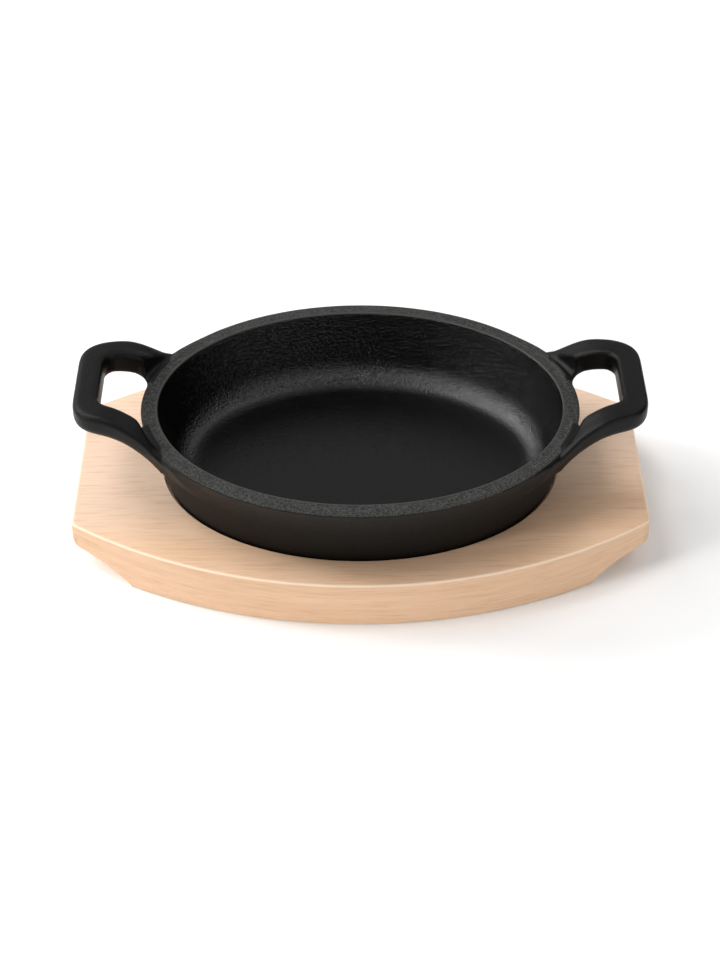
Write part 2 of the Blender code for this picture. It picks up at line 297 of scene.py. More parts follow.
def settle(piece):
    """Applies the piece's modifiers."""
    graph = bpy.context.evaluated_depsgraph_get()
    result = bpy.data.meshes.new_from_object(piece.evaluated_get(graph))
    piece.modifiers.clear()
    piece.data = result


def cut(target, other, operation):
    """Applies one Boolean with the other mesh, then removes the other."""
    step = target.modifiers.new(operation.lower(), "BOOLEAN")
    step.operation = operation
    step.solver = "EXACT"
    step.object = other
    settle(target)
    bpy.data.objects.remove(other)


def arc_angles(end, steps):
    """The angles of an arc that starts at 0."""
    return [end * i / steps for i in range(steps + 1)]


def oval(half_length, half_width, height):
    """The points of a level ellipse."""
    turns = [2 * math.pi * i / OVAL_POINTS for i in range(OVAL_POINTS)]
    return [(half_length * math.cos(a), half_width * math.sin(a), height) for a in turns]


def wall_outline(height):
    """Half the length and width of the outer wall, at this height over the pan's underside."""
    share = height / PAN_HEIGHT
    half_length = BASE_LENGTH / 2 + share * (RIM_LENGTH - BASE_LENGTH) / 2
    half_width = BASE_WIDTH / 2 + share * (RIM_WIDTH - BASE_WIDTH) / 2
    return half_length, half_width


def band_height(inset):
    """Height of the band, this far inside the rim's outline."""
    return PAN_HEIGHT - BAND_FALL * (1 - inset / RIM_BAND)


def body_rings():
    """The rings of the pan's body, from the underside over the rim to the middle of its floor."""
    rings = []

    def ring(outline, inset, height):
        rings.append(oval(outline[0] - inset, outline[1] - inset, height))

    for a in arc_angles(math.pi / 2, BASE_EDGE_STEPS):
        height = BASE_EDGE * (1 - math.cos(a))
        ring(wall_outline(height), BASE_EDGE * (1 - math.sin(a)), height)
    crown = PAN_HEIGHT - BAND_FALL
    for height in np.linspace(BASE_EDGE, crown - RIM_EDGE, WALL_RINGS)[1:-1]:
        ring(wall_outline(height), 0, height)
    for a in arc_angles(math.pi / 2, RIM_EDGE_STEPS):
        height = crown - RIM_EDGE * (1 - math.sin(a))
        ring(wall_outline(height), RIM_EDGE * (1 - math.cos(a)), height)
    rim = (RIM_LENGTH / 2, RIM_WIDTH / 2)
    band_ends = (RIM_EDGE + BAND_MARGIN, RIM_BAND - MOUTH_EDGE - BAND_MARGIN)
    for inset in np.linspace(*band_ends, BAND_RINGS):
        ring(rim, inset, band_height(inset))
    mouth = (RIM_LENGTH / 2 - RIM_BAND, RIM_WIDTH / 2 - RIM_BAND)
    lean = math.pi / 2 - CAVITY_DRAFT
    turn_in = MOUTH_EDGE * math.tan(lean / 2)
    for a in arc_angles(lean, MOUTH_STEPS):
        inset = MOUTH_EDGE * math.sin(a) - turn_in
        ring(mouth, inset, PAN_HEIGHT - MOUTH_EDGE * (1 - math.cos(a)))
    depth = PAN_HEIGHT - FLOOR_THICKNESS
    tangent = CAVITY_FILLET * math.tan(lean / 2)
    floor_inset = depth * math.tan(CAVITY_DRAFT) + tangent
    wall_end = CAVITY_FILLET * (1 - math.cos(lean))
    for drop in np.linspace(MOUTH_EDGE, depth - wall_end, CAVITY_WALL_RINGS)[1:-1]:
        ring(mouth, drop * math.tan(CAVITY_DRAFT), PAN_HEIGHT - drop)
    for a in reversed(arc_angles(lean, CAVITY_FILLET_STEPS)):
        inset = floor_inset - CAVITY_FILLET * math.sin(a)
        ring(mouth, inset, FLOOR_THICKNESS + CAVITY_FILLET * (1 - math.cos(a)))
    for share in FLOOR_SHARES:
        half_length, half_width = mouth[0] - floor_inset, mouth[1] - floor_inset
        rings.append(oval(half_length * share, half_width * share, FLOOR_THICKNESS))
    return rings


def rim_x(y):
    """How far out the rim's outline lies at this distance from the pan's long axis."""
    return RIM_LENGTH / 2 * math.sqrt(1 - (2 * y / RIM_WIDTH) ** 2)


# The plan of the right-hand handle's far arm: where it crosses the rim, how it heads from there,
# and the bend that takes it into the bar.
BAR_X = RIM_LENGTH / 2 + HANDLE_REACH - HANDLE_WIDTH / 2
LEVEL_X = BAR_X - HANDLE_WIDTH / 2
CROSSING_X = rim_x(ARM_SPREAD_RIM / 2)
FOOT_X = rim_x((ARM_SPREAD_RIM + HANDLE_WIDTH) / 2)
INNER_X = rim_x((ARM_SPREAD_RIM - HANDLE_WIDTH) / 2)
ARM_TAPER = (ARM_SPREAD_RIM - ARM_SPREAD_BAR) / 2
HEADING = math.atan2(ARM_TAPER, BAR_X - CROSSING_X)
ALONG = (math.cos(HEADING), -math.sin(HEADING))
OUT = (math.sin(HEADING), math.cos(HEADING))
BEND = math.pi / 2 - HEADING
BEND_TANGENT = HANDLE_CORNER * math.tan(BEND / 2)
BEND_X = BAR_X - HANDLE_CORNER
BEND_Y = ARM_SPREAD_BAR / 2 - BEND_TANGENT
BEND_SHARE = (LEVEL_X - BEND_X - HANDLE_CORNER * OUT[0]) / (LEVEL_X - FOOT_X)


def handle_path():
    """Points along the handle's middle line in plan, each with the way out of the loop there."""
    arm_length = math.hypot(BAR_X - CROSSING_X, ARM_TAPER)
    arm_length += ARM_ROOT - BEND_TANGENT
    stations = []
    for i in range(ARM_STEPS):
        back = BEND_TANGENT + arm_length * (1 - i / ARM_STEPS)
        stations.append((BAR_X - back * ALONG[0], ARM_SPREAD_BAR / 2 - back * ALONG[1], OUT))
    for a in arc_angles(BEND, HANDLE_CORNER_STEPS):
        out = (math.cos(BEND - a), math.sin(BEND - a))
        stations.append((BEND_X + HANDLE_CORNER * out[0], BEND_Y + HANDLE_CORNER * out[1], out))
    for share in BAR_SHARES:
        stations.append((BAR_X, BEND_Y * share, (1, 0)))
    middle = [(BAR_X, 0, (1, 0))]
    mirrored = [(x, -y, (out[0], -out[1])) for x, y, out in reversed(stations)]
    return stations + middle + mirrored


def arm_share(x):
    """How far along the slope this place is: 0 at the level bar, 1 at the rim."""
    return np.maximum(0, (LEVEL_X - x) / (LEVEL_X - FOOT_X))


def slope_place(x, across):
    """The place along the slope that gives the heights, this far across the arm.

    On the arm, its outer side is ahead of its middle.
    """
    ahead = np.clip((arm_share(x) - BEND_SHARE) / SLOPE_EASING, 0, 1)
    return x + OUT[0] * np.maximum(0, across) * ahead


def top_of(x):
    """Height of the handle's top over the rim."""
    return np.maximum(-ROOT_SINK, HANDLE_RISE * (1 - arm_share(x) ** 2))


def underside_of(x):
    """Height of the handle's underside over the rim."""
    level = HANDLE_RISE - HANDLE_THICKNESS
    return level - (level + ARM_DEPTH) * np.minimum(1, arm_share(x)) ** 2


def widening(x, over_rim, outwards):
    """How much the root's fillet adds to the arm's outer or inner side, at this height."""
    outer_start = FOOT_X + OUTER_FILLET_RUN + OUTER_FILLET_LEAN * np.minimum(0, over_rim)
    inner_start = INNER_X + INNER_FILLET_RUN - INNER_FILLET_LEAN * np.maximum(0, over_rim)
    outer = np.maximum(0, outer_start - x) ** 2 / (2 * OUTER_FILLET_RADIUS)
    inner = np.maximum(0, inner_start - x) ** 2 / (2 * INNER_FILLET_RADIUS)
    return np.minimum(FILLET_LIMIT, np.where(outwards, outer, inner))


def shoulder(x, lift, outwards):
    """How much wider the arm's outer side is towards its top: lift is 1 there and 0 below."""
    share = np.clip((SHOULDER_START - x) / (SHOULDER_START - SHOULDER_END), 0, 1)
    raised = np.clip(lift, 0, 1) ** 2
    return np.where(outwards, SHOULDER_REACH * share * share * (3 - 2 * share) * raised, 0)


def fullness(bend_share):
    """How much wider the handle is in its corner: the share is 0 and 1 at the corner's ends."""
    return CORNER_FULLNESS * np.sin(math.pi * np.clip(bend_share, 0, 1)) ** 2


def outer_squareness(x):
    """Exponent of the section's lower outer quarter."""
    return BAR_SQUARENESS + (ROOT_SQUARENESS - BAR_SQUARENESS) * np.minimum(1, arm_share(x))


def handle_section(x, y, out):
    """The points of the upright section of the handle at this place."""
    bend_share = (math.atan2(out[0], abs(out[1])) - HEADING) / BEND
    points = []
    for i in range(SECTION_POINTS):
        a = 2 * math.pi * (i + 0.5) / SECTION_POINTS
        squareness = outer_squareness(x) if math.cos(a) > 0 else INNER_SQUARENESS
        if math.sin(a) >= 0:
            squareness = TOP_SQUARENESS
        half_width = HANDLE_WIDTH / 2 + (float(fullness(bend_share)) if math.cos(a) > 0 else 0)
        across = half_width * math.copysign(abs(math.cos(a)) ** (2 / squareness), math.cos(a))
        upright = math.copysign(abs(math.sin(a)) ** (2 / squareness), math.sin(a))
        lift = (1 + upright) / 2
        slope_x = slope_place(x, across)
        low, high = float(underside_of(slope_x)), float(top_of(slope_x))
        over_rim = low + (high - low) * (1 + upright) / 2
        added = widening(x + out[0] * across, over_rim, across > 0) + shoulder(x, lift, across > 0)
        across += math.copysign(float(added) * abs(across) / half_width, across)
        points.append((x + out[0] * across, y + out[1] * across, PAN_HEIGHT + over_rim))
    return points


def ellipse_distance(x, y, half_length, half_width):
    """Roughly how far outside the ellipse a plan point lies."""
    stretched = (x / half_length) ** 2 + (y / half_width) ** 2 - 1
    slope = 2 * np.hypot(x / half_length**2, y / half_width**2)
    return stretched / np.maximum(slope, 1e-6)


def outside_rim(x, y):
    """Roughly how far outside the rim's outline a plan point lies."""
    return ellipse_distance(x, y, RIM_LENGTH / 2, RIM_WIDTH / 2)


def round_join(a, b, radius):
    """Distance to the union of two solids, with a fillet of this radius in the crease."""
    reach = np.hypot(np.maximum(radius - a, 0), np.maximum(radius - b, 0))
    return np.maximum(radius, np.minimum(a, b)) - reach


def round_meet(a, b, radius):
    """Distance to what two solids share, with the edge rounded to this radius."""
    reach = np.hypot(np.maximum(radius + a, 0), np.maximum(radius + b, 0))
    return np.minimum(-radius, np.maximum(a, b)) + reach


def handle_distance(x, y, over_rim):
    """Roughly how far outside a handle a point lies."""
    x, y = np.abs(x), np.abs(y)
    from_bend = np.stack([x - BEND_X, y - BEND_Y])
    off_bar = y > BEND_Y

    # Where the nearest place on the middle line is, and how far across from it the point lies.
    along = from_bend[0] * ALONG[0] + from_bend[1] * ALONG[1]
    arm_across = from_bend[0] * OUT[0] + from_bend[1] * OUT[1] - HANDLE_CORNER
    arm_x = BEND_X + HANDLE_CORNER * OUT[0] + along * ALONG[0]
    spread = np.hypot(from_bend[0], from_bend[1])
    bend_x = BEND_X + HANDLE_CORNER * from_bend[0] / np.maximum(spread, 1e-9)
    bend_share = (np.arctan2(from_bend[0], from_bend[1]) - HEADING) / BEND
    across = np.where(off_bar, spread - HANDLE_CORNER, x - BAR_X)
    station = np.where(off_bar, bend_x, BAR_X)
    on_arm = (along < 0) & (off_bar | (np.abs(arm_across) < np.abs(across)))
    across = np.where(on_arm, arm_across, across)
    station = np.where(on_arm, arm_x, station)

    # How far the point lies outside the section there.
    outwards = across > 0
    side = np.where(outwards, 1, -1) * np.where(on_arm, OUT[0], 0)
    edge_x = station + side * HANDLE_WIDTH / 2
    slope_x = slope_place(station, across)
    half_height = (top_of(slope_x) - underside_of(slope_x)) / 2
    upright = over_rim - underside_of(slope_x) - half_height
    lift = (1 + upright / half_height) / 2
    added = widening(edge_x, over_rim, outwards) + shoulder(station, lift, outwards)
    in_bend = np.where(on_arm | (y < BEND_Y) | ~outwards, 0, bend_share)
    half_width = HANDLE_WIDTH / 2 + fullness(in_bend)
    narrowed = np.abs(across) * half_width / (half_width + added)
    squareness = np.where(outwards, outer_squareness(station), INNER_SQUARENESS)
    squareness = np.where(upright >= 0, TOP_SQUARENESS, squareness)
    wide, tall = narrowed / half_width, np.abs(upright) / half_height
    size = np.maximum((wide**squareness + tall**squareness) ** (1 / squareness), 1e-3)
    return np.hypot(narrowed, upright) * (1 - 1 / size)


def pan_distance(points):
    """Roughly how far outside the pan a point lies, with the cast fillets at the handles."""
    x, y, height = points.T
    over_rim = height - PAN_HEIGHT
    wall = ellipse_distance(x, y, *wall_outline(height))
    from_rim = outside_rim(x, y)
    top = height - band_height(-from_rim)
    body = round_meet(wall, top, RIM_EDGE)
    share = np.sqrt(1 - (1 - np.clip(over_rim / FLANK_HEIGHT, 0, 1)) ** 2)
    flank_length = RIM_LENGTH / 2 + FLANK_SETBACK * share
    flank = ellipse_distance(x, y, flank_length, RIM_WIDTH / 2 - FLANK_NARROWING * share)
    kept_clear = np.maximum(flank, -over_rim - BAND_FALL)
    handle = round_meet(handle_distance(x, y, over_rim), -kept_clear, FLANK_FILLET)
    handle = np.maximum(handle, -from_rim - HANDLE_SINK)
    depth = np.clip(-over_rim / FILLET_CHANGE, 0, 1)
    return round_join(body, handle, BAND_FILLET + (ROOT_FILLET - BAND_FILLET) * depth)


def gradient(points):
    """Direction out of the pan at each point, by small steps."""
    step = 2e-5
    slope = np.zeros_like(points)
    for axis in range(3):
        shift = np.zeros(3)
        shift[axis] = step
        slope[:, axis] = (pan_distance(points + shift) - pan_distance(points - shift)) / (2 * step)
    return slope


def near_handle(points, reach):
    """Which points are near a handle and outside the pan's mouth."""
    x, y, height = points.T
    close = handle_distance(x, y, height - PAN_HEIGHT) < reach
    outside = outside_rim(x, y) > -SETTLE_INSET
    return close & outside & (np.abs(x) > PAN_END) & (height > LEAST_HEIGHT)


def faces_among(made, close):
    """The faces whose vertices are all close."""
    return [face for face in made.faces if all(close[v.index] for v in face.verts)]


def refine_roots(made):
    """Gives the faces round the handles' roots short edges."""
    for longest in ROOT_EDGES:
        made.verts.index_update()
        points = np.array([v.co for v in made.verts])
        from_rim = outside_rim(points[:, 0], points[:, 1])
        close = near_handle(points, ROOT_REACH) & (from_rim < ROOT_RUN)
        faces = faces_among(made, close)
        bmesh.ops.triangulate(made, faces=faces, quad_method="SHORT_EDGE")
        faces = faces_among(made, close)
        edges = {e for face in faces for e in face.edges if e.calc_length() > longest}
        bmesh.ops.subdivide_edges(made, edges=list(edges), cuts=1)
        bmesh.ops.triangulate(made, faces=[f for f in made.faces if len(f.verts) > 4])


def settle_roots(made):
    """Draws the vertices near the handles onto the filleted surface."""
    made.verts.ensure_lookup_table()
    made.verts.index_update()
    points = np.array([v.co for v in made.verts])
    index = np.flatnonzero(near_handle(points, SETTLE_REACH))
    neighbours = []
    for i in index:
        vertex = made.verts[i]
        neighbours.append([edge.other_vert(vertex).index for edge in vertex.link_edges])
    from_rim = outside_rim(points[index, 0], points[index, 1])
    weight = np.clip((from_rim + SETTLE_INSET) / SETTLE_FADE, 0, 1)[:, None]
    blended = np.abs(pan_distance(points[index])) > IN_FILLET
    for turn in range(SETTLE_TURNS):
        if turn in EASED_TURNS:
            means = np.array([points[ring].mean(0) for ring in neighbours])
            eased = points[index]
            eased[blended] += EASING * (means[blended] - eased[blended])
            points[index] = eased
        spot = points[index]
        slope = gradient(spot)
        off = pan_distance(spot)[:, None]
        step = off * slope / np.maximum((slope**2).sum(1, keepdims=True), LEAST_STEEPNESS)
        length = np.linalg.norm(step, axis=1, keepdims=True)
        step *= np.minimum(1, LONGEST_STEP / np.maximum(length, 1e-9))
        points[index] = spot - weight * step
    for i in index:
        made.verts[i].co = points[i]


def clearance_rings():
    """The space over the rim that the arms leave free."""
    profile = [(0, -BAND_FALL)]
    for a in arc_angles(math.pi / 2, CLEARANCE_STEPS):
        profile.append((math.sin(a), FLANK_HEIGHT * (1 - math.cos(a))))
    profile.append((1, 2 * HANDLE_RISE))
    rings = []
    for share, rise in profile:
        half_length = RIM_LENGTH / 2 + FLANK_SETBACK * share
        half_width = RIM_WIDTH / 2 - FLANK_NARROWING * share
        rings.append(oval(half_length, half_width, PAN_HEIGHT + rise))
    return rings


def root_end_rings():
    """An oval that ends the arms inside the pan's wall."""
    inset = RIM_BAND / 2
    rings = []
    for drop in (-2 * HANDLE_RISE, 0, 0.5 * PAN_HEIGHT):
        lean = inset + max(0, drop) * math.tan(CAVITY_DRAFT)
        rings.append(oval(RIM_LENGTH / 2 - lean, RIM_WIDTH / 2 - lean, PAN_HEIGHT - drop))
    return rings


def make_handle(name, turn):
    """One handle, clear of the rim's band and ended in the wall, turned to its end of the pan."""
    handle = loft(name, [handle_section(x, y, out) for x, y, out in handle_path()])
    cut(handle, loft("band_clearance", clearance_rings()), "DIFFERENCE")
    cut(handle, loft("root_end", root_end_rings()), "DIFFERENCE")
    handle.data.transform(Matrix.Rotation(turn, 4, "Z"))
    return handle


def make_pan():
    """The pan: body with cavity, both handles joined to it, and the fillets at their roots."""
    pan = loft("pan", body_rings())
    for end, turn in (("right", 0), ("left", math.pi)):
        cut(pan, make_handle(f"handle_{end}", turn), "UNION")
    made = bmesh.new()
    made.from_mesh(pan.data)
    bmesh.ops.remove_doubles(made, verts=made.verts, dist=WELD)
    refine_roots(made)
    settle_roots(made)
    bmesh.ops.dissolve_degenerate(made, edges=made.edges, dist=SLIVER)
    points = np.array([v.co for v in made.verts])
    pan.data = mesh_of("pan", made)
    index = np.flatnonzero(near_handle(points, NORMALS_REACH))
    normals = np.zeros((len(points), 3))
    slope = gradient(points[index])
    normals[index] = slope / np.linalg.norm(slope, axis=1, keepdims=True)
    pan.data.normals_split_custom_set_from_vertices([tuple(n) for n in normals])
    pan.data.transform(Matrix.Translation((0, 0, PAN_BOTTOM)))
    return pan


# How far the board's long sides bow out from its ends.
BOARD_BOW = (BOARD_WIDTH - BOARD_END_WIDTH) / 2


def board_outline():
    """The board's plan: each long side is an arc through its corners and its middle."""
    half_length = BOARD_LENGTH / 2
    radius = (half_length**2 + BOARD_BOW**2) / (2 * BOARD_BOW)
    sweep = math.asin(half_length / radius)
    points = []
    for side in (1, -1):
        for i in range(BOARD_SIDE_STEPS + 1):
            a = sweep * (1 - 2 * i / BOARD_SIDE_STEPS)
            y = BOARD_WIDTH / 2 - radius * (1 - math.cos(a))
            points.append((side * radius * math.sin(a), side * y, 0))
    return points


def extrude(made, vector):
    """Draws the one face of this bmesh out into a solid."""
    raised = bmesh.ops.extrude_face_region(made, geom=list(made.faces))["geom"]
    moved = [part for part in raised if isinstance(part, bmesh.types.BMVert)]
    bmesh.ops.translate(made, verts=moved, vec=vector)


def board_blank():
    """The board's plan with its corners rounded, raised to its thickness."""
    made = bmesh.new()
    made.faces.new([made.verts.new(point) for point in board_outline()])
    turn = math.pi / 2 - 2 * math.atan2(BOARD_BOW, BOARD_LENGTH / 2)
    corner_x = BOARD_LENGTH / 2 - BOARD_END_MARGIN
    bmesh.ops.bevel(
        made,
        geom=[vertex for vertex in made.verts if abs(vertex.co.x) > corner_x],
        offset=min(BOARD_CORNER * math.tan(turn / 2), BOARD_CORNER_LIMIT),
        segments=BOARD_CORNER_STEPS,
        profile=0.5,
        affect="VERTICES",
    )
    extrude(made, (0, 0, BOARD_THICKNESS))
    return mesh_of("board", made)


def arc(centre, radius, start, end, steps):
    """Points of an arc in the upright plane along the board: distance out and height."""
    angles = [start + a for a in arc_angles(end - start, steps)]
    return [(centre[0] + radius * math.cos(a), centre[1] + radius * math.sin(a)) for a in angles]


def grip_cutter(side):
    """The cutter that hollows out the underside of one end and rounds its lip."""
    radius = (GRIP_REACH**2 + GRIP_HEIGHT**2) / (2 * GRIP_HEIGHT)
    middle = (0, GRIP_HEIGHT - radius)
    lean = math.asin(GRIP_LIP / (radius + GRIP_LIP))
    lip = (-GRIP_LIP, middle[1] + (radius + GRIP_LIP) * math.cos(lean))
    runs_out = math.pi - math.asin((radius - GRIP_HEIGHT - GRIP_LIP) / radius)
    outline = arc(middle, radius, runs_out, math.pi / 2 + lean, GRIP_STEPS)
    outline += arc(lip, GRIP_LIP, lean - math.pi / 2, 0, GRIP_LIP_STEPS)[1:]
    outline.append((GRIP_OVERCUT, lip[1]))
    outline.append((GRIP_OVERCUT, -GRIP_OVERCUT))
    outline.append((outline[0][0], -GRIP_OVERCUT))
    made = bmesh.new()
    points = [(side * (BOARD_LENGTH / 2 + x), -BOARD_WIDTH, z) for x, z in outline]
    made.faces.new([made.verts.new(point) for point in points])
    extrude(made, (0, 2 * BOARD_WIDTH, 0))
    return place("grip", mesh_of("grip", made))


def recess_rings():
    """The oval recess, with the edge of its mouth rounded off."""
    half_length, half_width = wall_outline(BOARD_THICKNESS - PAN_BOTTOM)
    half_length += RECESS_CLEARANCE
    half_width += RECESS_CLEARANCE
    profile = [(0, BOARD_THICKNESS - RECESS_DEPTH), (0, BOARD_THICKNESS - RECESS_EDGE)]
    for a in arc_angles(math.pi / 2, RECESS_EDGE_STEPS)[1:]:
        height = BOARD_THICKNESS - RECESS_EDGE * (1 - math.sin(a))
        profile.append((-RECESS_EDGE * (1 - math.cos(a)), height))
    profile.append((-RECESS_EDGE, BOARD_THICKNESS + RECESS_DEPTH))
    return [oval(half_length - inset, half_width - inset, height) for inset, height in profile]


def make_board():
    """The board: its outline, the grips, the rounded edges and last the recess."""
    board = place("board", board_blank())
    for side in (1, -1):
        cut(board, grip_cutter(side), "DIFFERENCE")
    edges = board.modifiers.new("edges", "BEVEL")
    edges.width = BOARD_EDGE
    edges.segments = BOARD_EDGE_STEPS
    edges.use_clamp_overlap = False
    edges.limit_method = "ANGLE"
    edges.angle_limit = math.radians(30)
    settle(board)
    cut(board, loft("recess", recess_rings()), "DIFFERENCE")
    for polygon in board.data.polygons:
        polygon.use_smooth = True
    crease = board.modifiers.new("normals", "WEIGHTED_NORMAL")
    crease.keep_sharp = True
    board.data.set_sharp_from_angle(angle=math.radians(40))
    settle(board)
    return board


def new_material(name):
    """An empty material and its node tree."""
    made = bpy.data.materials.new(name)
    made.use_nodes = True
    made.node_tree.nodes.clear()
    return made, made.node_tree


def cast_iron(tree, spot, grit, depth, looks, strength=1.0):
    """Cast iron from a sand mould: these looks, over grains of this size and depth."""
    grains = add(
        tree,
        "ShaderNodeTexNoise",
        {"Vector": spot, "Scale": 1 / grit, "Detail": 2.0, "Roughness": 0.55},
    )
    relief = add(
        tree,
        "ShaderNodeBump",
        {"Height": grains.outputs[0], "Strength": strength, "Distance": depth},
    )
    shader = add(
        tree,
        "ShaderNodeBsdfPrincipled",
        {**looks, "Metallic": 0.0, "Normal": relief.outputs[0]},
    )
    add(tree, "ShaderNodeOutputMaterial", {"Surface": shader.outputs[0]})


def blotchy(tree, spot, roughness):
    """The roughness of seasoning, which lies on unevenly: some blotches shine a little more."""
    blotches = add(
        tree,
        "ShaderNodeTexNoise",
        {"Vector": spot, "Scale": 1 / BLOTCH, "Detail": 2.0},
    )
    skin = add(
        tree,
        "ShaderNodeMapRange",
        {
            "Value": blotches.outputs[0],
            "From Min": 0.3,
            "From Max": 0.7,
            "To Min": roughness - BLOTCH_SPREAD,
            "To Max": roughness + BLOTCH_SPREAD,
        },
    )
    return skin.outputs[0]


def outer_iron():
    """Cast iron as it left the sand mould, seasoned.

    It is near black, with broad satin lights on the handles and a fine grain. The wall, which is
    handled less, gets duller further down.
    """
    made, tree = new_material("cast iron, sand cast and seasoned")
    spot = add(tree, "ShaderNodeTexCoord").outputs["Object"]
    height = add(tree, "ShaderNodeSeparateXYZ", {"Vector": spot}).outputs["Z"]
    rim_level = PAN_BOTTOM + PAN_HEIGHT
    duller = add(
        tree,
        "ShaderNodeMapRange",
        {
            "Value": height,
            "From Min": rim_level - DULLING_DEPTH,
            "From Max": rim_level,
            "To Min": 0.62,
            "To Max": 0.4,
        },
    )
    looks = {"Base Color": hex_colour("080807"), "IOR": 1.27, "Roughness": duller.outputs[0]}
    cast_iron(tree, spot, SAND_GRAIN, SAND_DEPTH, looks)
    return made


def pebbled_cavity():
    """Cast iron inside the pan, pebbled by a coarser sand.

    Each pebble on the wall catches its own small light. The floor is flatter, darker and smoother,
    and the oil that gathers where it turns up into the wall makes a glossy band.
    """
    made, tree = new_material("cast iron, pebbled inside")
    spot = add(tree, "ShaderNodeTexCoord").outputs["Object"]
    height = add(tree, "ShaderNodeSeparateXYZ", {"Vector": spot}).outputs["Z"]
    floor_level = PAN_BOTTOM + FLOOR_THICKNESS
    pebbles = add(
        tree,
        "ShaderNodeMapRange",
        {
            "Value": height,
            "From Min": floor_level,
            "From Max": floor_level + SMOOTH_HEIGHT,
            "To Min": 0.3,
            "To Max": 1.0,
        },
        interpolation_type="SMOOTHSTEP",
    )
    oil_share = add(
        tree,
        "ShaderNodeMapRange",
        {"Value": height, "From Min": floor_level, "From Max": floor_level + OIL_HEIGHT},
    )
    oil = add(tree, "ShaderNodeValToRGB", {"Fac": oil_share.outputs[0]})
    oil.color_ramp.interpolation = "EASE"
    set_stops(oil.color_ramp, ((0.0, grey(0.30)), (0.3, grey(0.72)), (1.0, grey(0.40))))
    looks = {
        "Base Color": hex_colour("060606"),
        "IOR": 1.5,
        "Roughness": blotchy(tree, spot, 0.18),
        "Specular IOR Level": oil.outputs[0],
    }
    cast_iron(tree, spot, PEBBLE, PEBBLE_DEPTH, looks, strength=pebbles.outputs[0])
    return made


def ground_rim():
    """Cast iron, ground level along the rim.

    The grindstone has opened the skin, so the band is a rough dark grey with lighter flecks.
    """
    made, tree = new_material("cast iron, ground rim")
    spot = add(tree, "ShaderNodeTexCoord").outputs["Object"]
    flecks = add(
        tree,
        "ShaderNodeTexNoise",
        {"Vector": spot, "Scale": 1 / GROUND_GRAIN, "Detail": 3.0, "Roughness": 0.6},
    )
    tone = add(tree, "ShaderNodeValToRGB", {"Fac": flecks.outputs[0]})
    set_stops(tone.color_ramp, ((0.4, hex_colour("262625")), (0.68, hex_colour("4e4e4c"))))
    looks = {
        "Base Color": tone.outputs[0],
        "IOR": 1.21,
        "Roughness": blotchy(tree, spot, 0.52),
    }
    cast_iron(tree, spot, GROUND_GRAIN, GROUND_DEPTH, looks)
    return made


def worn_edge():
    """Cast iron, worn by use along the edge of the mouth: a thin paler line round the cavity."""
    made, tree = new_material("cast iron, worn edge")
    spot = add(tree, "ShaderNodeTexCoord").outputs["Object"]
    looks = {
        "Base Color": hex_colour("333332"),
        "IOR": 1.42,
        "Roughness": blotchy(tree, spot, 0.4),
    }
    cast_iron(tree, spot, GROUND_GRAIN, WORN_DEPTH, looks)
    return made


